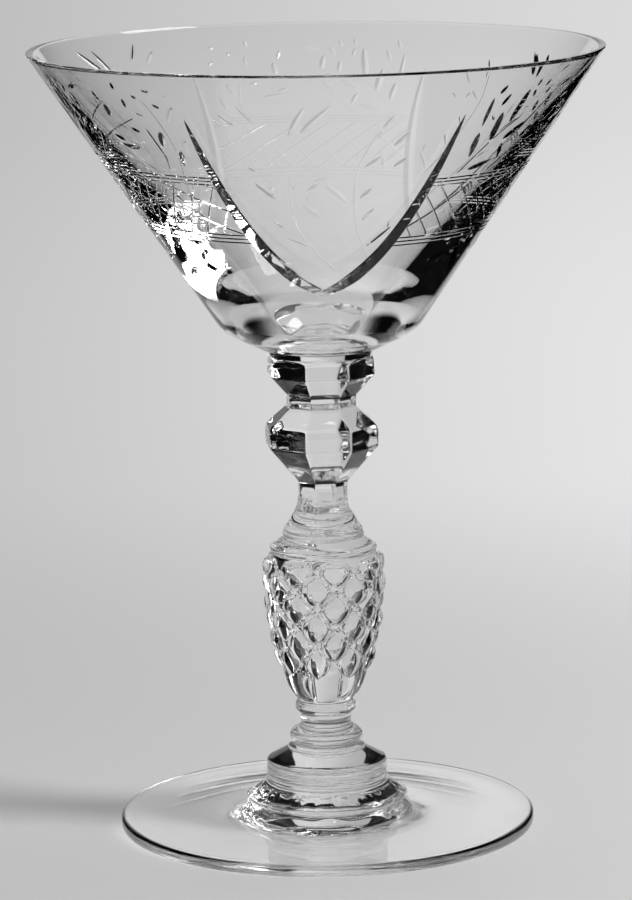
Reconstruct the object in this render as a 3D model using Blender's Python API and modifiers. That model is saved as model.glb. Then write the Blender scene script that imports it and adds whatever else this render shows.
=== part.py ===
"""Sherbet glass: a blown cut bowl, a pressed stem and a cast foot, fused hot into one glass.

Metres, +Z up. The origin is the middle of the face that the glass stands on, and -Y is its front.
"""

from math import atan2, cos, degrees, pi, radians, sin, sqrt, tan

import bmesh
import bpy
from mathutils import Matrix, Vector

MM = 0.001
FRONT = -pi / 2  # azimuth of the bowl's front panel
JOINT_GAP = 0.3 * MM  # left between pieces that are fused on the real glass

# Foot: a disc with a rounded edge, a hub under the stem and a shallow hollow underneath
FOOT_RADIUS = 35.4 * MM
FOOT_EDGE_THICKNESS = 2.0 * MM
FOOT_REST_WIDTH = 4.5 * MM  # the flat ring that it stands on
FOOT_HOLLOW = 0.7 * MM
FOOT_HUB_MARGIN = 0.6 * MM  # of the hub around the stem's base
FOOT_HUB_HEIGHT = 4.0 * MM

# Stem, turned forms from its base upwards
BASE_RADIUS = 13.6 * MM
BASE_LIP = 1.0 * MM
SKIRT_HEIGHT = 3.1 * MM  # the flare from the lip up to the dome
DOME_RADIUS = 10.3 * MM
DOME_BAND = 2.8 * MM
DOME_SLOPE = 2.1 * MM
DOME_FILLET = 1.8 * MM
TIER_RADIUS = 6.4 * MM
TIER_HEIGHT = 0.5 * MM
WAIST_RADIUS = 5.6 * MM
COLLAR_RADIUS = 6.25 * MM
COLLAR_HEIGHT = 3.7 * MM
RING_NECK_RADIUS = 4.3 * MM
RING_NECK_HEIGHT = 2.2 * MM
RING_RADIUS = 5.25 * MM
RING_HEIGHT = 2.2 * MM
BULB_FOOT_RADIUS = 4.85 * MM
BULB_RADIUS = 9.25 * MM  # without its beads
BULB_WIDEST_HEIGHT = 22.1 * MM  # above the bulb's lower end
SHOULDER_RADIUS = 9.0 * MM
SHOULDER_HEIGHT = 4.6 * MM  # of the shoulder's edge above the widest place
BELL_STEP = 1.6 * MM  # sloping step from the shoulder's edge to the bell's lip
BELL_RADIUS = 6.7 * MM
BELL_LIP = 1.2 * MM
BELL_HEIGHT = 5.4 * MM  # from the lip to the eight-sided neck

# Stem, the eight-sided neck and knops above the bell, with radii to their corners
SIDES = 8
STEM_TURN = radians(5)  # of a panel's middle against the bowl's front panel
NECK_RADIUS = 4.36 * MM
NECK_HEIGHT = 2.7 * MM
LOWER_KNOP_RADIUS = 10.0 * MM
LOWER_KNOP_TAPER = 6.35 * MM
LOWER_KNOP_SIDE = 3.3 * MM
LOWER_KNOP_SLOPE = 3.3 * MM
KNOP_WAIST_RADIUS = 6.15 * MM
KNOP_WAIST_HEIGHT = 2.0 * MM
UPPER_KNOP_RADIUS = 9.4 * MM
UPPER_KNOP_TAPER = 3.6 * MM
UPPER_KNOP_SIDE = 2.5 * MM
UPPER_KNOP_TOP_RADIUS = 9.1 * MM
BUTTON_RADIUS = 8.6 * MM  # the round pad that the bowl sits on
BUTTON_HEIGHT = 0.5 * MM

# Stem, beads on the bulb: staggered rows, then a row of drops below them
BEAD_TURN = radians(10.5)  # of the first row against the bowl's front panel
BEAD_ROWS = 6
BEAD_ROW_PITCH = 3.28 * MM
BEAD_DROP = 3.1 * MM  # of the first row's middle below the shoulder's edge
BEAD_RADIUS = 2.1 * MM
BEAD_RISE = 0.9 * MM
DROP_HALF_WIDTH = 1.6 * MM
DROP_HALF_HEIGHT = 2.5 * MM

# Bowl: a straight cone on a sloping base, thick at its flat floor and thin at its rim
RIM_RADIUS = 48.4 * MM
BOWL_HEIGHT = 51.65 * MM  # from the joint to the rim
BOWL_TURN_RADIUS = 16.4 * MM  # where the sloping base turns into the cone
BOWL_TURN_HEIGHT = 4.15 * MM
BOWL_TURN_FILLET = 6.0 * MM
RIM_WALL = 1.2 * MM  # measured level, as is the next
FLOOR_WALL = 8.5 * MM
WALL_TAPER = 1.7  # power by which the wall thins from its floor to its rim
WALL_STATIONS = 8
FLOOR_THICKNESS = 6.2 * MM
FLOOR_FILLET = 1.0 * MM

# Bowl: broad mitre cuts that frame the pointed panels
PANELS = 3
FRAME_FOOT_HEIGHT = 13.6 * MM  # of the panel's point above the joint
FRAME_REACH = 23.4 * MM  # half the panel's width at the top, along the surface
FRAME_RISE = 36.5 * MM  # from its point to its top, along the surface
FRAME_START_SLOPE = 0.5  # rise over reach at the point
FRAME_CUT_WIDTH = 2.4 * MM
FRAME_CUT_DEPTH = 0.78 * MM
FRAME_END_SHARE = 0.25  # of that width and depth at the panel's foot and tops
FRAME_STATIONS = 14

BOWL_STEPS = 72
STEM_STEPS = 40
FOOT_STEPS = 72

STEM_BASE = FOOT_HUB_HEIGHT + JOINT_GAP
DOME_FOOT = STEM_BASE + BASE_LIP + SKIRT_HEIGHT
TIER_FOOT = DOME_FOOT + DOME_BAND + DOME_SLOPE
COLLAR_FOOT = TIER_FOOT + TIER_HEIGHT
RING_FOOT = COLLAR_FOOT + COLLAR_HEIGHT + RING_NECK_HEIGHT
BULB_FOOT = RING_FOOT + RING_HEIGHT
SHOULDER_EDGE = BULB_FOOT + BULB_WIDEST_HEIGHT + SHOULDER_HEIGHT
BELL_FOOT = SHOULDER_EDGE + BELL_STEP
NECK_FOOT = BELL_FOOT + BELL_LIP + BELL_HEIGHT
LOWER_KNOP_FOOT = NECK_FOOT + NECK_HEIGHT
KNOP_WAIST_FOOT = LOWER_KNOP_FOOT + LOWER_KNOP_TAPER + LOWER_KNOP_SIDE + LOWER_KNOP_SLOPE
UPPER_KNOP_FOOT = KNOP_WAIST_FOOT + KNOP_WAIST_HEIGHT
BUTTON_FOOT = UPPER_KNOP_FOOT + UPPER_KNOP_TAPER + UPPER_KNOP_SIDE
STEM_TOP = BUTTON_FOOT + BUTTON_HEIGHT
BOWL_BASE = STEM_TOP + JOINT_GAP
RIM_TOP = BOWL_BASE + BOWL_HEIGHT
CONE_LEAN = atan2(RIM_RADIUS - BOWL_TURN_RADIUS, BOWL_HEIGHT - BOWL_TURN_HEIGHT)


def clear_scene():
    for item in list(bpy.data.objects):
        bpy.data.objects.remove(item, do_unlink=True)


def new_collection(name):
    collection = bpy.data.collections.new(name)
    bpy.context.scene.collection.children.link(collection)
    return collection


def new_object(name, bm, collection):
    mesh = bpy.data.meshes.new(name)
    bm.to_mesh(mesh)
    bm.free()
    item = bpy.data.objects.new(name, mesh)
    collection.objects.link(item)
    return item


def glass(name, colour, roughness):
    material = bpy.data.materials.new(name)
    material.use_nodes = True
    shader = material.node_tree.nodes["Principled BSDF"]
    shader.inputs["Base Color"].default_value = (*colour, 1.0)
    shader.inputs["Roughness"].default_value = roughness
    shader.inputs["Metallic"].default_value = 0.0
    shader.inputs["Transmission Weight"].default_value = 1.0
    return material


def arc(centre, radius, start, end, count):
    """Points of an arc in the profile plane, both ends included; angles in degrees from +X."""
    points = []
    for i in range(count + 1):
        angle = radians(start + (end - start) * i / count)
        points.append((centre[0] + radius * cos(angle), centre[1] + radius * sin(angle)))
    return points


def fillet(before, corner, after, radius, count):
    """Points of a rounded corner between two straight runs, limited by the shorter run."""
    corner = Vector(corner)
    back = Vector(before) - corner
    ahead = Vector(after) - corner
    half = back.angle(ahead) / 2
    reach = min(radius / tan(half), 0.9 * back.length, 0.9 * ahead.length)
    radius = reach * tan(half)
    centre = corner + (back.normalized() + ahead.normalized()).normalized() * (radius / sin(half))
    first = corner + back.normalized() * reach - centre
    last = corner + ahead.normalized() * reach - centre
    start = degrees(atan2(first.y, first.x))
    turn = degrees(first.angle_signed(last))
    return arc(centre, radius, start, start - turn, count)


def turned(name, profile, steps, collection, azimuth=0.0):
    """A solid turned about Z from a profile that runs down its outer side."""
    bm = bmesh.new()
    start = Matrix.Rotation(azimuth, 3, "Z")
    verts = [bm.verts.new(start @ Vector((x, 0.0, z))) for x, z in profile]
    for upper, lower in zip(verts, verts[1:]):
        bm.edges.new((upper, lower))
    item = new_object(name, bm, collection)
    screw = item.modifiers.new("turn", "SCREW")
    screw.steps = steps
    screw.render_steps = steps
    screw.use_merge_vertices = True
    screw.merge_threshold = 0.01 * MM
    screw.use_smooth_shade = steps > SIDES
    return item


def boolean(item, operation, other):
    modifier = item.modifiers.new(f"{operation.lower()}_{other.name}", "BOOLEAN")
    modifier.operation = operation
    modifier.object = other
    modifier.use_self = True
    other.hide_render = True
    other.display_type = "WIRE"


def make_foot(parts):
    edge = FOOT_EDGE_THICKNESS / 2
    edge_x = FOOT_RADIUS - edge
    rest_x = edge_x - FOOT_REST_WIDTH
    hub_x = BASE_RADIUS + FOOT_HUB_MARGIN
    slope = atan2(FOOT_HUB_HEIGHT - FOOT_EDGE_THICKNESS, edge_x - hub_x)
    profile = [(0.0, FOOT_HUB_HEIGHT), (hub_x, FOOT_HUB_HEIGHT)]
    profile += arc((edge_x, edge), edge, 90 - degrees(slope), -90, 6)
    profile += [(rest_x, 0.0)]
    profile += [(rest_x * share, FOOT_HOLLOW * (1 - share**2)) for share in (0.75, 0.5, 0.25, 0.0)]
    foot = turned("foot", profile, FOOT_STEPS, parts)
    foot.data.materials.append(glass("foot_glass", (0.93, 0.94, 0.94), 0.03))


def bulb_radius(height):
    """Radius of the plain bulb at a height above its lower end."""
    below = (BULB_WIDEST_HEIGHT - height) / BULB_WIDEST_HEIGHT
    if below < 0:
        above = (height - BULB_WIDEST_HEIGHT) / SHOULDER_HEIGHT
        return BULB_RADIUS - (BULB_RADIUS - SHOULDER_RADIUS) * above**2
    return BULB_RADIUS - (BULB_RADIUS - BULB_FOOT_RADIUS) * below**2


def stem_profile():
    """The stem's turned side, from the axis at its top down to the axis at its base.

    Inside the eight-sided neck and knops it is a thin core, which joins them into one body.
    """
    lip = BASE_LIP / 2
    side = [(0.0, STEM_BASE), (BASE_RADIUS - lip, STEM_BASE)]
    side += arc((BASE_RADIUS - lip, STEM_BASE + lip), lip, -60, 60, 4)
    for share in (0.35, 0.65, 1.0):
        flare = (BASE_RADIUS - DOME_RADIUS) * (1 - share) ** 2
        side.append((DOME_RADIUS + flare, STEM_BASE + BASE_LIP + SKIRT_HEIGHT * share))
    corner = (DOME_RADIUS, DOME_FOOT + DOME_BAND)
    side += fillet((DOME_RADIUS, DOME_FOOT), corner, (TIER_RADIUS, TIER_FOOT), DOME_FILLET, 4)
    side += [(TIER_RADIUS, TIER_FOOT), (WAIST_RADIUS, COLLAR_FOOT)]
    above = (WAIST_RADIUS + RING_NECK_RADIUS) / 2
    collar = ((0.15, WAIST_RADIUS), (0.32, COLLAR_RADIUS), (0.5, COLLAR_RADIUS), (0.85, above))
    for share, radius in collar:
        side.append((radius, COLLAR_FOOT + COLLAR_HEIGHT * share))
    side += [(RING_NECK_RADIUS, COLLAR_FOOT + COLLAR_HEIGHT), (RING_NECK_RADIUS, RING_FOOT)]
    half_ring = RING_HEIGHT / 2
    side += arc((RING_RADIUS - half_ring, RING_FOOT + half_ring), half_ring, -60, 60, 4)
    for share in (0.0, 0.1, 0.25, 0.45, 0.7, 1.0):
        height = share * BULB_WIDEST_HEIGHT
        side.append((bulb_radius(height), BULB_FOOT + height))
    side += [(SHOULDER_RADIUS, SHOULDER_EDGE), (BELL_RADIUS - BELL_LIP / 2, BELL_FOOT)]
    side += arc((BELL_RADIUS - BELL_LIP / 2, BELL_FOOT + BELL_LIP / 2), BELL_LIP / 2, -45, 60, 3)
    core = 0.9 * NECK_RADIUS * cos(pi / SIDES)
    for share in (0.3, 0.6, 1.0):
        flare = (BELL_RADIUS - BELL_LIP / 2 - core) * (1 - share) ** 1.6
        side.append((core + flare, BELL_FOOT + BELL_LIP + BELL_HEIGHT * share))
    half_button = BUTTON_HEIGHT / 2
    side += [(core, BUTTON_FOOT), (BUTTON_RADIUS - half_button, BUTTON_FOOT)]
    side += arc((BUTTON_RADIUS - half_button, STEM_TOP - half_button), half_button, -45, 45, 2)
    side += [(BUTTON_RADIUS - half_button, STEM_TOP), (0.0, STEM_TOP)]
    return list(reversed(side))


def faceted_profile():
    """Corner line of the eight-sided neck and knops, from the axis at the top to its lower end."""
    lower_side = LOWER_KNOP_FOOT + LOWER_KNOP_TAPER
    upper_side = UPPER_KNOP_FOOT + UPPER_KNOP_TAPER
    sunk = NECK_FOOT - BELL_HEIGHT / 2
    line = [
        (0.0, sunk),
        (NECK_RADIUS, sunk),
        (NECK_RADIUS, LOWER_KNOP_FOOT),
        (LOWER_KNOP_RADIUS, lower_side),
        (LOWER_KNOP_RADIUS, lower_side + LOWER_KNOP_SIDE),
        (KNOP_WAIST_RADIUS, KNOP_WAIST_FOOT),
        (KNOP_WAIST_RADIUS, UPPER_KNOP_FOOT),
        (UPPER_KNOP_RADIUS, upper_side),
        (UPPER_KNOP_TOP_RADIUS, BUTTON_FOOT),
        (UPPER_KNOP_TOP_RADIUS * cos(pi / SIDES), BUTTON_FOOT + BUTTON_HEIGHT / 2),
        (0.0, BUTTON_FOOT + BUTTON_HEIGHT / 2),
    ]
    return list(reversed(line))


def make_beads(cutters):
    """Flattened balls set half into the bulb, in staggered rows, with drops under the last row."""
    bm = bmesh.new()
    for row in range(BEAD_ROWS + 1):
        is_drop = row == BEAD_ROWS
        width = DROP_HALF_WIDTH if is_drop else BEAD_RADIUS
        length = DROP_HALF_HEIGHT if is_drop else BEAD_RADIUS
        height = SHOULDER_EDGE - BULB_FOOT - BEAD_DROP - row * BEAD_ROW_PITCH
        run = bulb_radius(height + length / 2) - bulb_radius(height - length / 2)
        turn = 0.0 if is_drop else BEAD_TURN + (row % 2) * pi / SIDES
        for k in range(SIDES):
            azimuth = FRONT + turn + k * 2 * pi / SIDES
            place = (
                Matrix.Rotation(azimuth, 4, "Z")
                @ Matrix.Translation((bulb_radius(height), 0.0, BULB_FOOT + height))
                @ Matrix.Rotation(atan2(run, length), 4, "Y")
                @ Matrix.Diagonal((BEAD_RISE, width, length, 1.0))
            )
            bmesh.ops.create_uvsphere(bm, u_segments=8, v_segments=6, radius=1.0, matrix=place)
    return new_object("beads", bm, cutters)


def make_stem(parts, cutters):
    stem = turned("stem", stem_profile(), STEM_STEPS, parts)
    corner = FRONT + STEM_TURN + pi / SIDES
    boolean(stem, "UNION", turned("knops", faceted_profile(), SIDES, cutters, corner))
    boolean(stem, "UNION", make_beads(cutters))
    stem.data.materials.append(glass("stem_glass", (0.94, 0.95, 0.95), 0.02))


def cone_radius(height):
    """Outer radius of the bowl's cone at a height above the joint."""
    return BOWL_TURN_RADIUS + (height - BOWL_TURN_HEIGHT) * tan(CONE_LEAN)


def frame_point(middle, share):
    """A point of a panel's edge on the bowl's outside; its foot at share 0, its tops at -1 and 1."""
    across = FRAME_REACH * share
    straight = FRAME_START_SLOPE * abs(across)
    along = straight + (FRAME_RISE - FRAME_START_SLOPE * FRAME_REACH) * share**2
    height = FRAME_FOOT_HEIGHT + along * cos(CONE_LEAN)
    radius = cone_radius(height)
    azimuth = middle + across / radius
    return Vector((radius * cos(azimuth), radius * sin(azimuth), BOWL_BASE + height))


def frame_section(middle, share):
    """Corners of a frame cut's V at a point of its run, with the V drawn out past the surface."""
    step = 0.01
    place = frame_point(middle, share)
    run = frame_point(middle, share + step) - frame_point(middle, share - step)
    azimuth = atan2(place.y, place.x)
    normal = Vector((cos(azimuth) * cos(CONE_LEAN), sin(azimuth) * cos(CONE_LEAN), -sin(CONE_LEAN)))
    fade = max(FRAME_END_SHARE, sqrt(4 * abs(share) * (1 - abs(share))))
    depth = normal * FRAME_CUT_DEPTH * fade
    across = run.cross(normal).normalized() * FRAME_CUT_WIDTH * fade
    return place - depth, place + depth + across, place + depth - across


def make_frame_cuts(cutters):
    """V-shaped bars for the cuts that frame the panels, each from one top through the foot."""
    bm = bmesh.new()
    for panel in range(PANELS):
        middle = FRONT + panel * 2 * pi / PANELS
        rings = []
        for i in range(-FRAME_STATIONS, FRAME_STATIONS + 1):
            verts = [bm.verts.new(corner) for corner in frame_section(middle, i / FRAME_STATIONS)]
            rings.append([bm.edges.new((verts[k - 1], verts[k])) for k in range(3)])
        for near, far in zip(rings, rings[1:]):
            bmesh.ops.bridge_loops(bm, edges=near + far)
        bmesh.ops.holes_fill(bm, edges=rings[0] + rings[-1])
    bmesh.ops.recalc_face_normals(bm, faces=bm.faces)
    return new_object("panel_frames", bm, cutters)


def make_bowl(parts, cutters):
    floor = BOWL_BASE + FLOOR_THICKNESS
    lip = RIM_WALL / 2
    inside = []
    for i in range(WALL_STATIONS):
        share = i / WALL_STATIONS
        height = FLOOR_THICKNESS + (BOWL_HEIGHT - lip - FLOOR_THICKNESS) * share
        wall = RIM_WALL + (FLOOR_WALL - RIM_WALL) * (1 - share) ** WALL_TAPER
        inside.append((cone_radius(height) - wall, BOWL_BASE + height))
    turn = (BOWL_TURN_RADIUS, BOWL_BASE + BOWL_TURN_HEIGHT)
    profile = [(0.0, floor)]
    profile += fillet((0.0, floor), inside[0], inside[1], FLOOR_FILLET, 4)
    profile += inside[1:]
    profile += arc((RIM_RADIUS - lip, RIM_TOP - lip), lip, 180, 0, 6)
    profile += fillet((RIM_RADIUS, RIM_TOP - lip), turn, (BUTTON_RADIUS, BOWL_BASE), BOWL_TURN_FILLET, 5)
    profile += [(BUTTON_RADIUS, BOWL_BASE), (0.0, BOWL_BASE)]
    bowl = turned("bowl", profile, BOWL_STEPS, parts)
    boolean(bowl, "DIFFERENCE", make_frame_cuts(cutters))
    bowl.data.materials.append(glass("bowl_glass", (0.95, 0.96, 0.96), 0.01))


clear_scene()
glass_parts = new_collection("sherbet_glass")
glass_cutters = new_collection("cutters")
make_foot(glass_parts)
make_stem(glass_parts, glass_cutters)
make_bowl(glass_parts, glass_cutters)
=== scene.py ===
from math import atan2, cos, degrees, hypot, pi, radians, sin, sqrt, tan

import bmesh
import bpy
import numpy as np
from mathutils import Matrix, Vector, noise


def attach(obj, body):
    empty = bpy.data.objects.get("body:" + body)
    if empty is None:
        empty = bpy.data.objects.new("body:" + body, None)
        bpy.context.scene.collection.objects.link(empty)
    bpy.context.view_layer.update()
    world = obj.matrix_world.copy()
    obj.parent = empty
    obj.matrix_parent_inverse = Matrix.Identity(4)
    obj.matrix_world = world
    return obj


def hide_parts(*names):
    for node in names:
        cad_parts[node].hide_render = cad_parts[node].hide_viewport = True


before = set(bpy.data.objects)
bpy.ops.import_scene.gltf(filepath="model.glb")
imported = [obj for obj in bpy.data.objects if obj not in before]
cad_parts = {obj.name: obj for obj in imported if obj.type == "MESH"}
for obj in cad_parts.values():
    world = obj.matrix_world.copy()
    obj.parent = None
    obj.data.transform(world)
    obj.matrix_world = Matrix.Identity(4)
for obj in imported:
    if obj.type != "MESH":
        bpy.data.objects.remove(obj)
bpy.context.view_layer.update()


# Foot: a gather of clear glass cast on the stem's base and spun out hot to a thin round disc.
# It is drawn up in a short lumpy flare where it took the stem. Its edge is fire-polished round, and
# a shallow hollow underneath leaves a narrow ring to stand on.
MM = 0.001
FRONT = -pi / 2
CLEAR_TINT = (0.985, 0.988, 0.986)
FOOT_STEPS = 216
FOOT_RADIUS = 35.4
FOOT_EDGE = 2.0
EDGE_STEPS = 12
EDGE_ROUND = 0.62
FOOT_REST = 29.9
FOOT_HOLLOW = 0.7
HOLLOW_STEPS = 8
FOOT_JOINT_RADIUS = 13.0
FOOT_JOINT_HEIGHT = 4.15
FLARE_STEPS = 30
FLARE_SPACING = 1.5
FLARE_POWER = 11
FLARE_REACH = 5.0
FLARE_LUMP = 0.35
LUMP_SCALE = 4.2


def spun(corners, steps, start=0.0):
    """A closed body spun about the axis from the (radius, height, rounding) corners of its side."""
    bm = bmesh.new()
    line = []
    for i, (radius, height, rounding) in enumerate(corners):
        corner = Vector((radius, 0.0, height))
        # A short straight run on both sides of a rounded corner keeps its bevel to itself.
        for other in (corners[i - 1], None, corners[(i + 1) % len(corners)]):
            if other is None:
                line.append((corner, rounding))
            elif rounding:
                away = Vector((other[0], 0.0, other[1])) - corner
                line.append((corner + away.normalized() * min(1.3 * rounding, 0.48 * away.length), 0.0))
    turn = Matrix.Rotation(start, 3, "Z")
    verts = [bm.verts.new(turn @ point * MM) for point, rounding in line]
    for upper, lower in zip(verts, verts[1:]):
        bm.edges.new((upper, lower))
    for vert, (point, rounding) in zip(verts, line):
        if rounding:
            bmesh.ops.bevel(
                bm, geom=[vert], offset=rounding * MM, affect="VERTICES",
                segments=4, profile=0.5, material=-1,
            )
    bmesh.ops.spin(
        bm, geom=bm.verts[:] + bm.edges[:], cent=(0, 0, 0), axis=(0, 0, 1),
        angle=2 * pi, steps=steps, use_merge=True,
    )
    bmesh.ops.remove_doubles(bm, verts=bm.verts, dist=0.002 * MM)
    bmesh.ops.dissolve_degenerate(bm, edges=bm.edges, dist=0.0005 * MM)
    bmesh.ops.recalc_face_normals(bm, faces=bm.faces)
    return bm


def lumps(azimuth, scale, along):
    """Uneven lumps around the axis, from about -1 to 1, that change along the piece as well."""
    return noise.noise(Vector((cos(azimuth) * scale, sin(azimuth) * scale, along)))


def glass_piece(name, bm, materials, joints):
    """Turns a bmesh into a smooth piece of the glass; faces on a fused joint's level are unseen."""
    for face in bm.faces:
        face.smooth = True
        level = face.calc_center_median().z / MM
        if abs(face.normal.z) > 0.999 and any(abs(level - joint) < 0.01 for joint in joints):
            face.material_index = len(materials) - 1
    mesh = bpy.data.meshes.new(name)
    bm.to_mesh(mesh)
    bm.free()
    for material in materials:
        mesh.materials.append(material)
    piece = bpy.data.objects.new(name, mesh)
    bpy.context.scene.collection.objects.link(piece)
    return piece


def glass_finish_group():
    """Faint cords and ripples in the glass, with a slightly uneven polish, on Object coordinates."""
    group = bpy.data.node_groups.new("glass_finish", "ShaderNodeTree")
    for socket in ("Cord Scale", "Stretch", "Ripple", "Polish", "Haze"):
        group.interface.new_socket(socket, in_out="INPUT", socket_type="NodeSocketFloat")
    for socket, kind in (("Roughness", "NodeSocketFloat"), ("Normal", "NodeSocketVector")):
        group.interface.new_socket(socket, in_out="OUTPUT", socket_type=kind)
    nodes = group.nodes
    link = group.links.new
    given = nodes.new("NodeGroupInput")
    done = nodes.new("NodeGroupOutput")
    place = nodes.new("ShaderNodeTexCoord")
    stretch = nodes.new("ShaderNodeCombineXYZ")
    stretch.inputs["X"].default_value = 1.0
    stretch.inputs["Y"].default_value = 1.0
    link(given.outputs["Stretch"], stretch.inputs["Z"])
    drawn = nodes.new("ShaderNodeVectorMath")
    drawn.operation = "MULTIPLY"
    link(place.outputs["Object"], drawn.inputs[0])
    link(stretch.outputs[0], drawn.inputs[1])
    cords = nodes.new("ShaderNodeTexNoise")
    cords.inputs["Detail"].default_value = 1.0
    link(drawn.outputs[0], cords.inputs["Vector"])
    link(given.outputs["Cord Scale"], cords.inputs["Scale"])
    bump = nodes.new("ShaderNodeBump")
    bump.inputs["Distance"].default_value = 0.1 * MM
    link(cords.outputs["Fac"], bump.inputs["Height"])
    link(given.outputs["Ripple"], bump.inputs["Strength"])
    link(bump.outputs["Normal"], done.inputs["Normal"])
    smear = nodes.new("ShaderNodeTexNoise")
    smear.inputs["Scale"].default_value = 90.0
    smear.inputs["Detail"].default_value = 3.0
    link(place.outputs["Object"], smear.inputs["Vector"])
    polish = nodes.new("ShaderNodeMapRange")
    polish.inputs["From Min"].default_value = 0.45
    polish.inputs["From Max"].default_value = 0.8
    link(smear.outputs["Fac"], polish.inputs["Value"])
    link(given.outputs["Polish"], polish.inputs["To Min"])
    link(given.outputs["Haze"], polish.inputs["To Max"])
    link(polish.outputs["Result"], done.inputs["Roughness"])
    return group


glass_finish = glass_finish_group()


def clear_glass(name, tint, cord_scale, stretch, ripple, polish, haze, shadow):
    """Clear glass that lets most light through to what is behind it, also in its shadow."""
    material = bpy.data.materials.new(name)
    material.use_nodes = True
    nodes = material.node_tree.nodes
    link = material.node_tree.links.new
    shader = nodes["Principled BSDF"]
    shader.inputs["Base Color"].default_value = (*tint, 1.0)
    shader.inputs["Metallic"].default_value = 0.0
    shader.inputs["IOR"].default_value = 1.52
    shader.inputs["Transmission Weight"].default_value = 1.0
    finish = nodes.new("ShaderNodeGroup")
    finish.node_tree = glass_finish
    for socket, value in (("Cord Scale", cord_scale), ("Stretch", stretch), ("Ripple", ripple),
                          ("Polish", polish), ("Haze", haze)):
        finish.inputs[socket].default_value = value
    link(finish.outputs["Roughness"], shader.inputs["Roughness"])
    link(finish.outputs["Normal"], shader.inputs["Normal"])
    shade = nodes.new("ShaderNodeBsdfTransparent")
    shade.inputs["Color"].default_value = (shadow, shadow, shadow, 1.0)
    rays = nodes.new("ShaderNodeLightPath")
    mix = nodes.new("ShaderNodeMixShader")
    link(rays.outputs["Is Shadow Ray"], mix.inputs["Fac"])
    link(shader.outputs["BSDF"], mix.inputs[1])
    link(shade.outputs["BSDF"], mix.inputs[2])
    link(mix.outputs["Shader"], nodes["Material Output"].inputs["Surface"])
    return material


def fused_joint():
    """The two faces of a fused joint, where the glass runs on and nothing is seen."""
    material = bpy.data.materials.new("fused_joint")
    material.use_nodes = True
    shader = material.node_tree.nodes["Principled BSDF"]
    shader.inputs["Alpha"].default_value = 0.0
    return material


fused = fused_joint()

foot_corners = [(0.0, FOOT_JOINT_HEIGHT, 0.0), (FOOT_JOINT_RADIUS, FOOT_JOINT_HEIGHT, 0.0)]
foot_edge_middle = FOOT_RADIUS - FOOT_EDGE / 2
for i in range(1, FLARE_STEPS):
    share = (i / FLARE_STEPS) ** FLARE_SPACING
    radius = FOOT_JOINT_RADIUS + (foot_edge_middle - FOOT_JOINT_RADIUS) * share
    rise = (FOOT_JOINT_HEIGHT - FOOT_EDGE) * (1 - share) ** FLARE_POWER
    foot_corners.append((radius, FOOT_EDGE + rise, 0.0))
for i in range(EDGE_STEPS + 1):
    angle = pi / 2 - pi * i / EDGE_STEPS
    out = abs(cos(angle)) ** EDGE_ROUND
    up = abs(sin(angle)) ** EDGE_ROUND * (1 if i < EDGE_STEPS / 2 else -1)
    foot_corners.append((foot_edge_middle + FOOT_EDGE / 2 * out, FOOT_EDGE / 2 * (1 + up), 0.0))
for i in range(HOLLOW_STEPS + 1):
    share = 1 - i / HOLLOW_STEPS
    foot_corners.append((FOOT_REST * share, FOOT_HOLLOW * (1 - share**2), 0.0))

foot_bm = spun(foot_corners, FOOT_STEPS)
for vert in foot_bm.verts:
    past_joint = hypot(vert.co.x, vert.co.y) / MM - FOOT_JOINT_RADIUS
    if past_joint > 0.05 and vert.co.z / MM > FOOT_EDGE + 0.02:
        azimuth = atan2(vert.co.y, vert.co.x)
        fade = min(1.0, past_joint / 0.8) * max(0.0, 1 - past_joint / FLARE_REACH)
        vert.co.z += FLARE_LUMP * lumps(azimuth, LUMP_SCALE, past_joint * 0.4) * fade * MM

foot_glass = clear_glass(
    "foot_glass", CLEAR_TINT, cord_scale=45.0, stretch=1.0, ripple=0.4,
    polish=0.02, haze=0.05, shadow=0.97,
)
foot = glass_piece("cast_foot", foot_bm, [foot_glass, fused], [FOOT_JOINT_HEIGHT])
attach(foot, "root")
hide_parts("foot")


# Stem: one pressing of clear glass, made in a hinged mould that left a seam down its front.
# From below it has a flared base, a dome, a collar and a ring, a bulb with rows of beads, a bell,
# and an eight-sided neck with two knops; a round pad on top takes the bowl.
STEM_TOP = 81.2
STEM_STEPS = 224
SIDES = 8
STEM_TURN = radians(5)
CORNER_POWER = 60
BASE_TOP = 7.0
BASE_INSIDE = 10.8
BASE_LUMP = 0.35
BASE_FINE_LUMP = 0.16
FINE_LUMP_SCALE = 11.0
BULB_STEPS = 150
BULB_FOOT = 21.9
BULB_WIDEST = 44.0
BULB_RADIUS = 9.25
BULB_FOOT_RADIUS = 4.85
SHOULDER_EDGE = 47.4
SHOULDER_DROP = 0.3
BELL_STEPS = 24
BELL_LIP = 51.4
BELL_WAIST = 4.0
BELL_FLARE = 2.7
BELL_CURVE = 1.45
NECK_RADIUS = 4.36
NECK_FOOT = 56.8
NECK_BLEND = 0.7
KNOP_TOP = 80.4
KNOP_TOP_RADIUS = 9.32
SEAM_RISE = 0.05
SEAM_HALF = 0.3
BEAD_TURN = radians(10.5)
BEAD_PITCH = 3.28
BEAD_FIRST = 45.4
BEAD_ROWS = 6
BEAD_RISE = 1.2
BEAD_WIDTH = 0.73
BEAD_HEIGHT = 0.79
LAND_RISE = 0.2
LAND_GROOVE = 0.15
LAND_EDGE = 0.2
BAND_FOOT = 46.9
PETAL_TOP = 28.4
PETAL_RISE = 0.75
PETAL_GROOVE = 0.8
PETAL_EDGE = 0.14


def bulb_radius(height):
    """Radius of the plain bulb in mm at a height in mm."""
    below = (BULB_WIDEST - height) / (BULB_WIDEST - BULB_FOOT)
    if below < 0:
        return BULB_RADIUS - SHOULDER_DROP * ((height - BULB_WIDEST) / (SHOULDER_EDGE - BULB_WIDEST)) ** 2
    return BULB_RADIUS - (BULB_RADIUS - BULB_FOOT_RADIUS) * below**2


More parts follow.
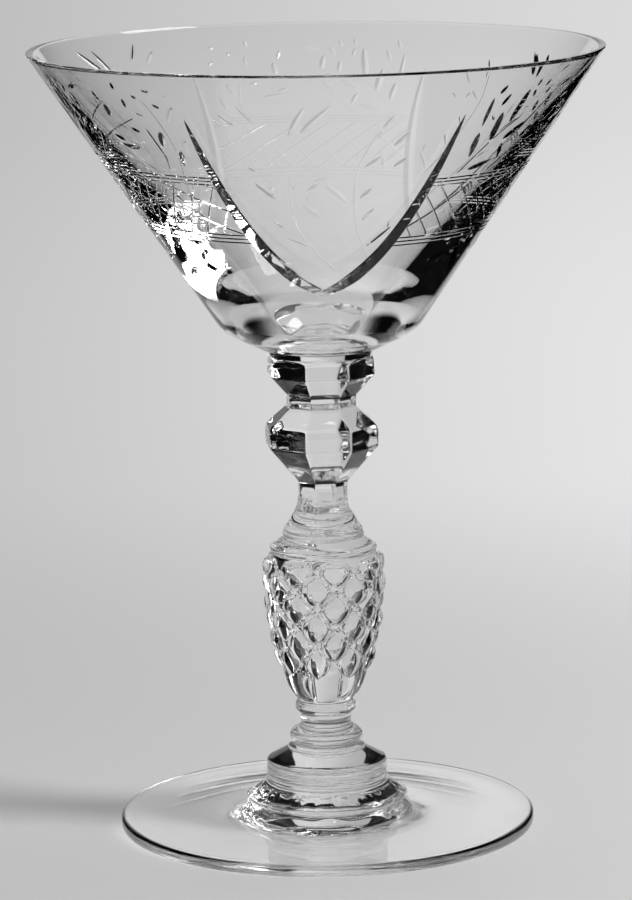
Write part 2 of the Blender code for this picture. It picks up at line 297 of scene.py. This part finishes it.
def bell_radius(height):
    """Radius in mm of the bell's flare above its lip."""
    share = (height - BELL_LIP) / (NECK_FOOT - BELL_LIP)
    return BELL_WAIST + BELL_FLARE * (1 - share) ** BELL_CURVE


def octagon(azimuth):
    """Share of the corner radius that an eight-sided form with softened corners has at an azimuth."""
    total = 0.0
    for k in range(SIDES):
        total += max(0.0, cos(azimuth - FRONT - STEM_TURN - k * 2 * pi / SIDES)) ** CORNER_POWER
    return cos(pi / SIDES) / total ** (1 / CORNER_POWER)


def soft_max(one, other, softness):
    """The larger of two values, with a rounded change from one to the other."""
    near = max(softness - abs(one - other), 0.0) / softness
    return max(one, other) + near * near * softness / 4


def around(azimuth, turn):
    """Place across the nearest of eight cells: 0 in its middle, -1 and 1 at its sides."""
    pitch = 2 * pi / SIDES
    return ((azimuth - FRONT - turn + pitch / 2) % pitch - pitch / 2) / (pitch / 2)


def bead_lift(azimuth, height):
    """How far in mm the bulb's surface is raised: round beads in staggered rows, petals below."""
    lift = 0.0
    for row in range(BEAD_ROWS):
        along = (height - BEAD_FIRST) / BEAD_PITCH + row
        across = around(azimuth, BEAD_TURN + (row % 2) * pi / SIDES)
        edge = 1 - abs(across) - abs(along)
        if edge > 0:
            dome = max(0.0, 1 - (across / BEAD_WIDTH) ** 2 - (along / BEAD_HEIGHT) ** 2)
            groove = LAND_GROOVE * max(0.0, 1 - edge / LAND_EDGE)
            lift = LAND_RISE * edge + BEAD_RISE * dome**0.5 - groove
    if height < PETAL_TOP:
        across = around(azimuth, 0.0)
        share = (PETAL_TOP - height) / (PETAL_TOP - BULB_FOOT)
        petal = PETAL_RISE * (1 - across**2) * sin(pi * min(1.0, share)) ** 0.6
        petal -= PETAL_GROOVE * max(0.0, 1 - (1 - abs(across)) / PETAL_EDGE) * min(1.0, 6 * (1 - share))
        lift = max(lift, petal) if share < 0.35 else petal
    return lift * min(1.0, max(0.0, (BAND_FOOT - height) / 0.5))


stem_corners = [
    (0.0, FOOT_JOINT_HEIGHT, 0.0), (FOOT_JOINT_RADIUS, FOOT_JOINT_HEIGHT, 0.0),
    (13.6, 4.5, 0.25), (13.6, 5.1, 0.3), (12.7, 5.5, 0.4), (11.4, 6.5, 0.5), (10.6, 7.5, 0.4),
    (10.3, 8.4, 0.3), (10.3, 9.1, 0.0), (10.16, 9.25, 0.0), (10.3, 9.4, 0.0), (10.3, 9.8, 0.0),
    (10.18, 9.95, 0.0), (10.3, 10.1, 0.0), (10.3, 11.2, 0.5), (6.5, 13.2, 0.2), (6.5, 13.6, 0.15),
    (5.7, 13.85, 0.1), (5.7, 14.35, 0.15), (6.25, 14.9, 0.2), (6.3, 15.6, 0.25), (5.9, 16.2, 0.25),
    (4.75, 16.95, 0.4), (4.3, 17.5, 0.3), (4.3, 19.35, 0.2), (5.0, 19.75, 0.2), (5.3, 20.3, 0.25),
    (5.2, 20.95, 0.25), (4.9, 21.5, 0.15),
]
for i in range(BULB_STEPS + 1):
    height = BULB_FOOT + (SHOULDER_EDGE - BULB_FOOT) * i / BULB_STEPS
    stem_corners.append((bulb_radius(height), height, 0.0))
stem_corners += [
    (8.7, 47.6, 0.1), (9.15, 47.9, 0.2), (9.15, 48.45, 0.25), (8.4, 48.85, 0.2),
    (6.85, 50.1, 0.2), (6.95, 50.5, 0.2), (6.75, 51.2, 0.2),
]
for i in range(BELL_STEPS):
    height = BELL_LIP + (NECK_FOOT - BELL_LIP) * i / BELL_STEPS
    stem_corners.append((bell_radius(height), height, 0.0))
stem_corners += [
    (NECK_RADIUS, NECK_FOOT, 0.0), (NECK_RADIUS, 59.5, 0.6), (10.0, 65.85, 0.35),
    (10.0, 69.1, 0.9), (6.15, 72.4, 0.4), (6.15, 74.4, 0.4), (9.5, 78.0, 0.3),
    (KNOP_TOP_RADIUS, KNOP_TOP, 0.2), (9.1, 80.7, 0.0), (8.86, 80.95, 0.0),
    (8.6, STEM_TOP, 0.0), (0.0, STEM_TOP, 0.0),
]

stem_bm = spun(stem_corners, STEM_STEPS, FRONT + STEM_TURN + pi / SIDES)
seam_azimuth = FRONT + STEM_TURN - pi / SIDES
for vert in stem_bm.verts:
    height = vert.co.z / MM
    radius = hypot(vert.co.x, vert.co.y) / MM
    if radius < 0.5:
        continue
    azimuth = atan2(vert.co.y, vert.co.x)
    wanted = radius
    if height < BASE_TOP and radius > BASE_INSIDE:
        lump = BASE_LUMP * lumps(azimuth, LUMP_SCALE, height * 0.35)
        lump += BASE_FINE_LUMP * lumps(azimuth, FINE_LUMP_SCALE, height)
        wanted += lump * min(1.0, (height - FOOT_JOINT_HEIGHT) / 0.5)
    elif BULB_FOOT < height < SHOULDER_EDGE:
        wanted += bead_lift(azimuth, height)
    elif BELL_LIP <= height < NECK_FOOT - 0.01:
        wanted = soft_max(radius, NECK_RADIUS * octagon(azimuth), NECK_BLEND)
    elif NECK_FOOT - 0.01 <= height < KNOP_TOP:
        wanted *= octagon(azimuth)
    elif KNOP_TOP <= height < STEM_TOP - 0.01:
        wanted = min(radius, KNOP_TOP_RADIUS * octagon(azimuth))
    if height > BASE_TOP:
        off = (azimuth - seam_azimuth + pi / 2) % pi - pi / 2
        wanted += SEAM_RISE * max(0.0, 1 - abs(off) * radius / SEAM_HALF)
    vert.co.x *= wanted / radius
    vert.co.y *= wanted / radius

stem_glass = clear_glass(
    "stem_glass", CLEAR_TINT, cord_scale=160.0, stretch=0.6, ripple=0.35,
    polish=0.0, haze=0.015, shadow=0.2,
)
stem = glass_piece("pressed_stem", stem_bm, [stem_glass, fused], [FOOT_JOINT_HEIGHT, STEM_TOP])
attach(stem, "root")
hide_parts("stem")


# Bowl: blown in a mould as a straight cone with a thick flat floor, its rim ground and fire-polished.
# The outside is cut on the wheel and polished: broad mitres frame three pointed panels, and between
# them run a band of crossed lines with three lines along each edge, and leaf sprays above and below.
BOWL_BASE = 81.35
RIM_RADIUS = 48.4
RIM_TOP = 133.0
RIM_WALL = 1.2
TURN_RADIUS = 16.4
TURN_HEIGHT = 4.15
FLOOR_THICKNESS = 6.2
FLOOR_WALL = 8.5
FLOOR_ROUNDING = 0.8
WALL_TAPER = 1.7
WALL_STATIONS = 24
BOWL_STEPS = 288
CONE_LEAN = atan2(RIM_RADIUS - TURN_RADIUS, RIM_TOP - BOWL_BASE - TURN_HEIGHT)
SHARP_EDGE = radians(16)
CUT_CREASE = radians(25)
PANELS = 3
PANEL_HALF = 23.4
PANEL_LENGTH = 36.5
PANEL_FOOT = 13.6
PANEL_POINT = 0.5
MITRE_WIDTH = 2.5
MITRE_SLOPE = 0.65
MITRE_BACK_BITE = 0.35
LINE_WIDTH = 0.42
LINE_SLOPE = 0.4
LEAF_SLOPE = 0.45
LEAF_STATIONS = 12
LATTICE_LINES = 22
BAND_TOP_LINES = (33.5, 32.95, 32.35)
BAND_FOOT_LINES = (23.5, 22.85, 22.2)


def cone_radius(height):
    """Radius in mm of the bowl's outside at a height in mm above the joint."""
    return TURN_RADIUS + (height - TURN_HEIGHT) * tan(CONE_LEAN)


def cone_place(azimuth, height):
    """A point in mm on the bowl's outside, at an azimuth and a height in mm above the joint."""
    radius = cone_radius(height)
    return Vector((radius * cos(azimuth), radius * sin(azimuth), BOWL_BASE + height))


def cone_normal(azimuth):
    """Direction straight out of the bowl's outside at an azimuth."""
    return Vector((cos(azimuth) * cos(CONE_LEAN), sin(azimuth) * cos(CONE_LEAN), -sin(CONE_LEAN)))


def wheel_cut(cuts, line, width, fade, stations, slope):
    """Adds a V-shaped bar for one cut of the wheel, along a line from a share to (azimuth, height)."""
    bar = bmesh.new()
    bmesh.ops.create_cone(
        bar, cap_ends=True, cap_tris=False, segments=3, radius1=1.0, radius2=1.0, depth=2.0
    )
    long_edges = [edge for edge in bar.edges if abs(edge.verts[0].co.z - edge.verts[1].co.z) > 1]
    bmesh.ops.subdivide_edges(bar, edges=long_edges, cuts=stations - 1, use_grid_fill=True)
    for vert in bar.verts:
        share = min(max((vert.co.z + 1) / 2, 0.0), 1.0)
        corner = round(atan2(vert.co.y, vert.co.x) / (2 * pi / 3) + 0.25) % 3
        azimuth, height = line(share)
        place = cone_place(azimuth, height)
        run = cone_place(*line(share + 0.01)) - cone_place(*line(share - 0.01))
        normal = cone_normal(azimuth)
        size = width / 2 * max(0.05, fade(share))
        if corner == 0:
            place -= normal * size * slope
        else:
            side = run.cross(normal).normalized() * (1 if corner == 1 else -1)
            place += normal * size * slope + side * 2 * size
        vert.co = place * MM
    bmesh.ops.recalc_face_normals(bar, faces=bar.faces)
    if bar.calc_volume(signed=True) < 0:
        bmesh.ops.reverse_faces(bar, faces=bar.faces)
    spare = bpy.data.meshes.new("spare")
    bar.to_mesh(spare)
    bar.free()
    cuts.from_mesh(spare)
    bpy.data.meshes.remove(spare)


def boat(share):
    """Depth of a leaf cut along its length: pointed at both ends."""
    return max(0.0, 4 * share * (1 - share)) ** 0.75


def even(share):
    """Depth of a line that runs out quickly at its ends."""
    return max(0.0, min(1.0, 14 * share, 14 * (1 - share)))


def through(points, middle):
    """A smooth line through (degrees, height) points about a zone's middle."""
    def line(share):
        spans = len(points) - 1
        at = min(max(int(share * spans), 0), spans - 1)
        t = share * spans - at
        p = [points[min(max(k, 0), spans)] for k in (at - 1, at, at + 1, at + 2)]
        out = []
        for axis in (0, 1):
            a, b, c, d = (point[axis] for point in p)
            curve = 0.5 * (2 * b + (c - a) * t + (2 * a - 5 * b + 4 * c - d) * t * t
                           + (3 * b - a - 3 * c + d) * t**3)
            out.append(curve)
        return middle + radians(out[0]), out[1]
    return line


def frame_line(middle):
    """The mitre cut around one panel, from one top through its pointed foot to the other top."""
    def line(share):
        side = 2 * share - 1
        across = PANEL_HALF * side
        along = PANEL_POINT * abs(across) + (PANEL_LENGTH - PANEL_POINT * PANEL_HALF) * side * side
        height = PANEL_FOOT + along * cos(CONE_LEAN)
        return middle + across / cone_radius(height), height
    return line


def frame_fade(share):
    """Depth of the mitre along a panel's edge: full low down, thinner at its foot, pointed at its top."""
    side = abs(2 * share - 1)
    return max(0.05, min(1.0, 0.55 + 2.2 * side) * (1 - side**3) ** 0.6)


# Sprigs are lines through points of degrees from the middle and height in mm. Leaves are the degrees
# and height of their foot, the same of their tip, and their width in mm.
UPPER_SPRIGS = [
    [(-24.1, 34.0), (-20.8, 36.7), (-17.8, 39.1), (-14.6, 41.2), (-10.6, 43.3)],
    [(-13.4, 34.0), (-10.6, 35.6), (-5.9, 38.2), (-2.9, 40.8), (1.6, 43.3), (9.0, 46.1)],
    [(-4.9, 36.6), (-0.4, 38.8), (3.5, 40.1), (11.5, 42.3), (15.4, 43.3)],
    [(18.5, 34.2), (19.2, 36.5), (18.6, 38.5), (17.4, 41.6)],
]
LOWER_SPRIGS = [
    [(12.0, 21.6), (14.9, 19.8), (14.1, 18.3)],
]
LEAVES = [
    (-22.5, 36.8, -22.6, 40.9, 1.1), (-17.9, 38.9, -18.2, 44.1, 1.3), (-22.8, 42.0, -22.9, 46.8, 0.7),
    (-21.8, 47.4, -20.7, 48.8, 0.7), (-19.8, 45.3, -18.5, 47.2, 0.7), (-14.3, 42.2, -13.0, 47.6, 1.2),
    (-13.5, 39.3, -8.0, 41.9, 1.1), (-20.9, 34.6, -13.9, 35.9, 1.0), (-11.8, 36.1, -13.0, 38.6, 0.9),
    (-10.5, 46.2, -11.0, 47.4, 0.6), (-11.1, 48.0, -10.7, 49.1, 0.6), (-8.0, 47.8, -7.2, 48.9, 0.6),
    (-6.4, 46.4, -5.2, 47.8, 0.6), (-3.2, 44.0, -3.9, 46.4, 0.9), (-7.5, 43.5, -7.7, 45.4, 0.8),
    (-4.0, 41.8, -5.2, 43.3, 0.8), (-7.0, 39.2, -3.6, 41.2, 0.9), (-2.8, 47.3, 1.9, 48.4, 0.8),
    (14.0, 49.2, 13.8, 48.0, 0.6), (14.7, 46.5, 14.6, 45.0, 0.6), (21.3, 48.2, 23.2, 48.1, 0.6),
    (17.9, 47.2, 18.9, 46.8, 0.6), (22.5, 45.9, 23.9, 45.3, 0.6), (8.1, 45.3, 7.7, 43.2, 1.0),
    (12.9, 41.5, 14.9, 40.9, 0.8), (5.2, 40.0, 8.1, 39.1, 0.8), (6.2, 38.4, 12.1, 38.0, 1.1),
    (21.2, 41.2, 20.0, 38.6, 1.0), (6.2, 47.4, 7.0, 45.9, 0.6), (24.5, 38.0, 23.8, 35.4, 0.9),
    (-15.3, 17.2, -4.6, 20.4, 1.1), (-3.5, 14.8, 5.2, 16.8, 1.0), (-6.1, 21.5, -0.1, 20.7, 0.9),
    (7.0, 20.2, 8.4, 19.4, 0.7), (16.6, 20.2, 21.0, 18.6, 1.1), (1.0, 18.4, 2.9, 17.8, 0.7),
]
PANEL_SPRIGS = [
    [(-8.4, 36.0), (-9.5, 31.8), (-8.9, 27.6), (-7.1, 24.0), (-0.3, 19.7), (7.4, 16.1)],
    [(11.6, 42.0), (9.6, 38.8), (7.8, 35.4), (7.7, 30.6), (9.3, 25.6), (12.1, 22.3), (14.7, 19.9)],
    [(-12.2, 23.7), (-8.9, 23.0), (-5.5, 22.2)],
]
PANEL_LEAVES = [
    (-8.3, 41.5, -4.5, 46.3, 1.4), (-5.7, 41.9, 1.1, 46.5, 1.5), (12.3, 42.4, 14.5, 44.6, 0.9),
    (15.6, 39.3, 18.6, 41.6, 0.9), (16.8, 35.8, 19.3, 37.1, 0.8), (9.4, 35.9, 13.2, 37.7, 0.8),
    (9.3, 30.5, 12.1, 32.2, 0.8), (10.8, 26.6, 13.7, 28.6, 0.8), (13.6, 21.9, 20.4, 25.2, 0.8),
    (12.1, 42.0, 11.7, 40.8, 0.6), (13.5, 37.3, 13.9, 36.1, 0.6), (-4.6, 32.2, -1.9, 33.2, 0.8),
    (-18.9, 36.1, -17.4, 35.4, 0.7), (-18.3, 33.5, -13.3, 30.6, 1.3), (-15.3, 26.7, -12.4, 25.5, 0.8),
    (-18.5, 46.6, -15.5, 43.6, 0.8), (-22.8, 45.1, -20.0, 43.2, 0.9), (19.3, 26.4, 19.2, 25.0, 0.5),
]
# Each spray's turn from the front, its shift in height in mm, and its share of the full depth.
PANEL_SPRAYS = ((0.0, 0.0, 0.7), (radians(120), 1.0, 0.7), (radians(-120), 2.5, 0.7))
ZONES = ((radians(60), -0.5, 1.0), (radians(-60), 0.4, 1.0), (radians(180), -0.7, 0.6))

frames = bmesh.new()
for panel in range(PANELS):
    slope = MITRE_SLOPE if panel == 0 else MITRE_BACK_BITE * MITRE_SLOPE
    wheel_cut(frames, frame_line(FRONT + panel * 2 * pi / PANELS), MITRE_WIDTH, frame_fade, 96, slope)


def zone_half(height):
    """Half the width in degrees of a cut zone between two panels, at a height in mm."""
    along = max(0.0, height - PANEL_FOOT) / cos(CONE_LEAN)
    point = PANEL_POINT * PANEL_HALF
    curve = PANEL_LENGTH - point
    share = min(1.0, (sqrt(point**2 + 4 * curve * along) - point) / (2 * curve))
    return 180 / PANELS - degrees(PANEL_HALF * share / cone_radius(height))


edging = bmesh.new()
falling = bmesh.new()
rising = bmesh.new()


def cut_spray(sprigs, leaves, middle, lift, bite, sprig_width, sprig_stations, leaf_spread):
    """Cuts one spray: fine curved sprigs, with pointed leaves along them."""
    for points in sprigs:
        line = through([(off, height + lift) for off, height in points], middle)
        wheel_cut(falling, line, sprig_width, even, sprig_stations, bite * LINE_SLOPE)
    for off, foot_height, tip_off, tip_height, width in leaves:
        ends = [(off, foot_height + lift), (tip_off, tip_height + lift)]
        line = through(ends, middle)
        wheel_cut(rising, line, leaf_spread * width, boat, LEAF_STATIONS, bite * LEAF_SLOPE)


for turn, lift, bite in ZONES:
    middle = FRONT + turn
    for height in BAND_TOP_LINES + BAND_FOOT_LINES:
        half = zone_half(height + lift)
        ends = [(-half, height + lift), (half, height + lift)]
        wheel_cut(edging, through(ends, middle), LINE_WIDTH, even, 72, bite * LINE_SLOPE)
    low = BAND_FOOT_LINES[0] + lift
    high = BAND_TOP_LINES[2] + lift
    for cuts, first, pitch, rise, bend in ((rising, -34.6, 5.9, 0.68, 0.0055),
                                           (falling, 0.4, 3.65, -0.395, 0.0034)):
        for n in range(LATTICE_LINES):
            run = []
            for step in range(-400, 401, 4):
                off = step / 10
                height = first + pitch * n + lift + rise * off + bend * off * off
                if low < height < high and abs(off) < zone_half(height):
                    run.append((off, height))
            if len(run) > 6:
                line = through([run[0], run[len(run) // 2], run[-1]], middle)
                wheel_cut(cuts, line, LINE_WIDTH, even, 24, bite * LINE_SLOPE)
    cut_spray(UPPER_SPRIGS + LOWER_SPRIGS, LEAVES, middle, lift, bite, 0.34, 20, 1.2)

for turn, lift, bite in PANEL_SPRAYS:
    cut_spray(PANEL_SPRIGS, PANEL_LEAVES, FRONT + turn, lift, bite, 0.26, 28, 0.8)

bowl_corners = [(0.0, BOWL_BASE + FLOOR_THICKNESS, 0.0)]
for i in range(WALL_STATIONS):
    share = i / WALL_STATIONS
    height = FLOOR_THICKNESS + (RIM_TOP - BOWL_BASE - FLOOR_THICKNESS) * share
    wall = RIM_WALL + (FLOOR_WALL - RIM_WALL) * (1 - share) ** WALL_TAPER
    radius = cone_radius(height) - wall
    bowl_corners.append((radius, BOWL_BASE + height, 0.0 if i else FLOOR_ROUNDING))
bowl_corners += [
    (RIM_RADIUS - RIM_WALL, RIM_TOP, 0.42),
    (RIM_RADIUS, RIM_TOP, 0.5),
    (TURN_RADIUS, BOWL_BASE + TURN_HEIGHT, 1.8),
    (10.2, 82.5, 0.15),
    (8.9, 82.3, 0.15),
    (8.6, STEM_TOP, 0.0),
    (0.0, STEM_TOP, 0.0),
]
bowl_glass = clear_glass(
    "bowl_glass", (0.988, 0.99, 0.989), cord_scale=30.0, stretch=0.35, ripple=0.3,
    polish=0.0, haze=0.008, shadow=0.94,
)
cut_glass = clear_glass(
    "cut_glass", CLEAR_TINT, cord_scale=400.0, stretch=1.0, ripple=0.3,
    polish=0.02, haze=0.06, shadow=0.94,
)
bowl_bm = spun(bowl_corners, BOWL_STEPS)
bowl = glass_piece("cut_bowl", bowl_bm, [bowl_glass, cut_glass, fused], [STEM_TOP])

wheels = []
for name, bm in (("frame_wheel", frames), ("edging_wheel", edging),
                 ("falling_wheel", falling), ("rising_wheel", rising)):
    wheel = glass_piece(name, bm, [bowl_glass, cut_glass], [])
    for face in wheel.data.polygons:
        face.material_index = 1
    wheels.append(wheel)
    cut = bowl.modifiers.new(name, "BOOLEAN")
    cut.operation = "DIFFERENCE"
    cut.solver = "MANIFOLD"
    cut.object = wheel

graph = bpy.context.evaluated_depsgraph_get()
cut_mesh = bpy.data.meshes.new_from_object(bowl.evaluated_get(graph))
bowl.modifiers.clear()
bowl.data = cut_mesh
for wheel in wheels:
    bpy.data.objects.remove(wheel)
cut_bm = bmesh.new()
cut_bm.from_mesh(cut_mesh)
for edge in cut_bm.edges:
    edge.smooth = edge.calc_face_angle(pi) < SHARP_EDGE
cut_bm.to_mesh(cut_mesh)
cut_bm.free()


def on_cone(place):
    """Whether a point lies on the bowl's uncut outside, between its rounded turn and its rim."""
    height = place.z / MM - BOWL_BASE
    off = abs(hypot(place.x, place.y) / MM - cone_radius(height)) * cos(CONE_LEAN)
    return off < 0.02 and TURN_HEIGHT + 1.0 < height < RIM_TOP - BOWL_BASE - 0.45


cut_faces = {}
for face in cut_mesh.polygons:
    if face.material_index == 1:
        for corner in face.vertices:
            cut_faces.setdefault(corner, []).append((face.normal.copy(), face.area))

normals = np.zeros((len(cut_mesh.loops), 3))
for face in cut_mesh.polygons:
    is_cut = face.material_index == 1
    is_cone = not is_cut and all(on_cone(cut_mesh.vertices[corner].co) for corner in face.vertices)
    for loop, corner in zip(face.loop_indices, face.vertices):
        if is_cut:
            smooth = Vector((0.0, 0.0, 0.0))
            for normal, area in cut_faces[corner]:
                if normal.dot(face.normal) > cos(CUT_CREASE):
                    smooth += normal * area
            normals[loop] = smooth.normalized() if smooth.length > 0 else face.normal
        elif is_cone:
            place = cut_mesh.vertices[corner].co
            normals[loop] = cone_normal(atan2(place.y, place.x))
cut_mesh.normals_split_custom_set(normals)
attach(bowl, "root")
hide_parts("bowl")


# Stage: a pale paper sweep under and behind the glass, lit softly from above and from the right.
# Near the glass the paper takes the lamps' light and the shadow, and farther off it glows with
# painted light, lighter toward the right as if lit from that side and a little dimmer toward the back.
# What the glass itself sees of it is a bright field, between painted shade at both sides.
SWEEP_HALF = 1.6
SWEEP_BACK = 1.5
SWEEP_RISE = 1.1
FIELD_HALF = 0.05
FIELD_SPREAD = 0.28
FIELD_BLUR = 0.02
sweep_bm = bmesh.new()
side = [(-SWEEP_HALF, -0.00005), (SWEEP_BACK, -0.00005), (SWEEP_BACK, SWEEP_RISE)]
verts = [sweep_bm.verts.new((-SWEEP_HALF, y, z)) for y, z in side]
for upper, lower in zip(verts, verts[1:]):
    sweep_bm.edges.new((upper, lower))
bmesh.ops.bevel(
    sweep_bm, geom=[verts[1]], offset=0.45, affect="VERTICES", segments=16, profile=0.5, material=-1
)
drawn = bmesh.ops.extrude_edge_only(sweep_bm, edges=sweep_bm.edges[:])["geom"]
bmesh.ops.translate(
    sweep_bm, verts=[item for item in drawn if isinstance(item, bmesh.types.BMVert)],
    vec=(2 * SWEEP_HALF, 0, 0),
)
bmesh.ops.recalc_face_normals(sweep_bm, faces=sweep_bm.faces)
sweep_mesh = bpy.data.meshes.new("paper_sweep")
sweep_bm.to_mesh(sweep_mesh)
sweep_bm.free()
for face in sweep_mesh.polygons:
    face.use_smooth = True
sweep = bpy.data.objects.new("paper_sweep", sweep_mesh)
bpy.context.scene.collection.objects.link(sweep)

paper = bpy.data.materials.new("sweep_paper")
paper.use_nodes = True
paper_nodes = paper.node_tree.nodes
paper_link = paper.node_tree.links.new


def math_node(operation, first, second=0.0):
    """A Math node on two inputs, each an output socket or a number; gives its output socket."""
    node = paper_nodes.new("ShaderNodeMath")
    node.operation = operation
    for socket, value in zip(node.inputs, (first, second)):
        if isinstance(value, (int, float)):
            socket.default_value = value
        else:
            paper_link(value, socket)
    return node.outputs[0]


def ramp_node(value, low, high, start=0.0, end=1.0):
    """A smooth step of a value between two places; gives its output socket."""
    node = paper_nodes.new("ShaderNodeMapRange")
    node.interpolation_type = "SMOOTHSTEP"
    node.inputs["From Min"].default_value = low
    node.inputs["From Max"].default_value = high
    node.inputs["To Min"].default_value = start
    node.inputs["To Max"].default_value = end
    paper_link(value, node.inputs["Value"])
    return node.outputs["Result"]


near = paper_nodes["Principled BSDF"]
near.inputs["Base Color"].default_value = (0.6, 0.6, 0.6, 1)
near.inputs["Roughness"].default_value = 0.9
near.inputs["Specular IOR Level"].default_value = 0.0
on_paper = paper_nodes.new("ShaderNodeTexCoord")
parts = paper_nodes.new("ShaderNodeSeparateXYZ")
paper_link(on_paper.outputs["Object"], parts.inputs[0])
across = parts.outputs["X"]
back = parts.outputs["Y"]
rays = paper_nodes.new("ShaderNodeLightPath")
in_glass = math_node("MAXIMUM", rays.outputs["Is Glossy Ray"], rays.outputs["Is Transmission Ray"])
seen = math_node("MAXIMUM", in_glass, rays.outputs["Is Camera Ray"])

# Painted shade: outside a field that widens toward the back, the paper shows near black to glass rays
# only, standing in for an unlit room at both sides; the camera still sees it pale.
spread = math_node("MULTIPLY", math_node("ABSOLUTE", back), FIELD_SPREAD)
past_field = math_node("SUBTRACT", math_node("ABSOLUTE", across), spread)
outside = ramp_node(math_node("SUBTRACT", past_field, FIELD_HALF), 0.0, FIELD_BLUR)
dark = math_node("MULTIPLY", outside, in_glass)

across_squared = math_node("MULTIPLY", across, across)
back_squared = math_node("MULTIPLY", back, back)
away = math_node("SQRT", math_node("ADD", across_squared, back_squared))
far = math_node("MULTIPLY", seen, ramp_node(away, 0.06, 0.32))

# Farther off, the paper glows instead of taking the lamps: painted light, lighter toward the right as if
# lit from that side, and a little dimmer toward the back.
painted_light_glow = paper_nodes.new("ShaderNodeEmission")
aside = math_node("DIVIDE", across, math_node("MAXIMUM", math_node("ADD", back, 0.71), 0.2))
painted_side_light = ramp_node(aside, -0.14, 0.14, 0.52, 0.8)
painted_back_falloff = ramp_node(back, 0.4, 1.3, 1.0, 0.89)
paper_link(math_node("MULTIPLY", painted_side_light, painted_back_falloff), painted_light_glow.inputs["Color"])
ground = paper_nodes.new("ShaderNodeMixShader")
paper_link(far, ground.inputs["Fac"])
paper_link(near.outputs["BSDF"], ground.inputs[1])
paper_link(painted_light_glow.outputs["Emission"], ground.inputs[2])
# Near-black emission: the painted shade that the glass sees at both sides.
painted_shade = paper_nodes.new("ShaderNodeEmission")
painted_shade.inputs["Color"].default_value = (0.002, 0.002, 0.002, 1)
field = paper_nodes.new("ShaderNodeMixShader")
paper_link(dark, field.inputs["Fac"])
paper_link(ground.outputs["Shader"], field.inputs[1])
paper_link(painted_shade.outputs["Emission"], field.inputs[2])
paper_link(field.outputs["Shader"], paper_nodes["Material Output"].inputs["Surface"])
sweep_mesh.materials.append(paper)


def lamp(name, place, target, size, power):
    """A soft rectangular lamp, aimed at a target."""
    light = bpy.data.lights.new(name, "AREA")
    light.shape = "RECTANGLE"
    light.size = size[0]
    light.size_y = size[1]
    light.energy = power
    item = bpy.data.objects.new(name, light)
    item.location = place
    item.rotation_euler = (Vector(target) - Vector(place)).to_track_quat("-Z", "Y").to_euler()
    bpy.context.scene.collection.objects.link(item)
    return item


key = lamp("key", (0.85, -0.3, 0.36), (0, 0, 0.1), (0.6, 0.5), 8)
key.visible_glossy = False
key.visible_diffuse = False
for name, place, size, power in (("side", (0.8, -0.24, 0.33), (0.26, 0.26), 11.0),
                                 ("top", (0.0, 0.3, 1.5), (0.8, 0.8), 11.0)):
    soft = lamp(name, place, (0, 0, 0.03), size, power)
    soft.visible_glossy = False
    soft.visible_transmission = False


def painted_glint_card(name, place, target, size, strength):
    """A glowing card that lights nothing and shows only in the glass, as a painted highlight."""
    bm = bmesh.new()
    aim = (Vector(target) - Vector(place)).to_track_quat("Z", "Y").to_matrix().to_4x4()
    bmesh.ops.create_grid(
        bm, x_segments=1, y_segments=1, size=0.5,
        matrix=Matrix.Translation(place) @ aim @ Matrix.Diagonal((*size, 1.0, 1.0)),
    )
    mesh = bpy.data.meshes.new(name)
    bm.to_mesh(mesh)
    bm.free()
    white = bpy.data.materials.new(name)
    white.use_nodes = True
    shine = white.node_tree.nodes.new("ShaderNodeEmission")
    shine.inputs["Strength"].default_value = strength
    surface = white.node_tree.nodes["Material Output"].inputs["Surface"]
    white.node_tree.links.new(shine.outputs[0], surface)
    mesh.materials.append(white)
    card = bpy.data.objects.new(name, mesh)
    bpy.context.scene.collection.objects.link(card)
    card.visible_camera = False
    card.visible_diffuse = False
    card.visible_shadow = False


# Painted highlight: a glowing card on the floor at the front left, seen only through the glass.
painted_glint_card("front_glint_card", (-0.32, -0.28, 0.002), (-0.32, -0.28, 1.0), (0.26, 0.3), 0.9)

world = bpy.data.worlds.new("studio")
world.use_nodes = True
studio_nodes = world.node_tree.nodes
studio_link = world.node_tree.links.new
rays = studio_nodes.new("ShaderNodeLightPath")
level = studio_nodes.new("ShaderNodeMapRange")
level.inputs["To Min"].default_value = 0.004
level.inputs["To Max"].default_value = 0.6
studio_link(rays.outputs["Is Camera Ray"], level.inputs["Value"])
studio_link(level.outputs["Result"], studio_nodes["Background"].inputs["Color"])
bpy.context.scene.world = world


# Camera: a long lens in front of the glass, a little to its left, looking slightly down on the rim.
# It stands at the photograph's place and angle.
CAMERA_PLACE = (-0.02482, -0.71077, 0.1999)
CAMERA_YAW = radians(-1.919)
CAMERA_DIP = radians(10.761)
CAMERA_ROLL = radians(-0.909)
camera_data = bpy.data.cameras.new("camera")
camera_data.lens = 171.18
camera_data.sensor_width = 36
camera = bpy.data.objects.new("camera", camera_data)
camera.matrix_world = (
    Matrix.Translation(CAMERA_PLACE)
    @ Matrix.Rotation(CAMERA_YAW, 4, "Z")
    @ Matrix.Rotation(pi / 2 - CAMERA_DIP, 4, "X")
    @ Matrix.Rotation(CAMERA_ROLL, 4, "Z")
)
bpy.context.scene.collection.objects.link(camera)
bpy.context.scene.camera = camera
bpy.context.scene.view_settings.view_transform = "Standard"
bpy.context.scene.cycles.max_bounces = 40
bpy.context.scene.cycles.transmission_bounces = 40
bpy.context.scene.cycles.glossy_bounces = 12
bpy.context.scene.cycles.transparent_max_bounces = 40
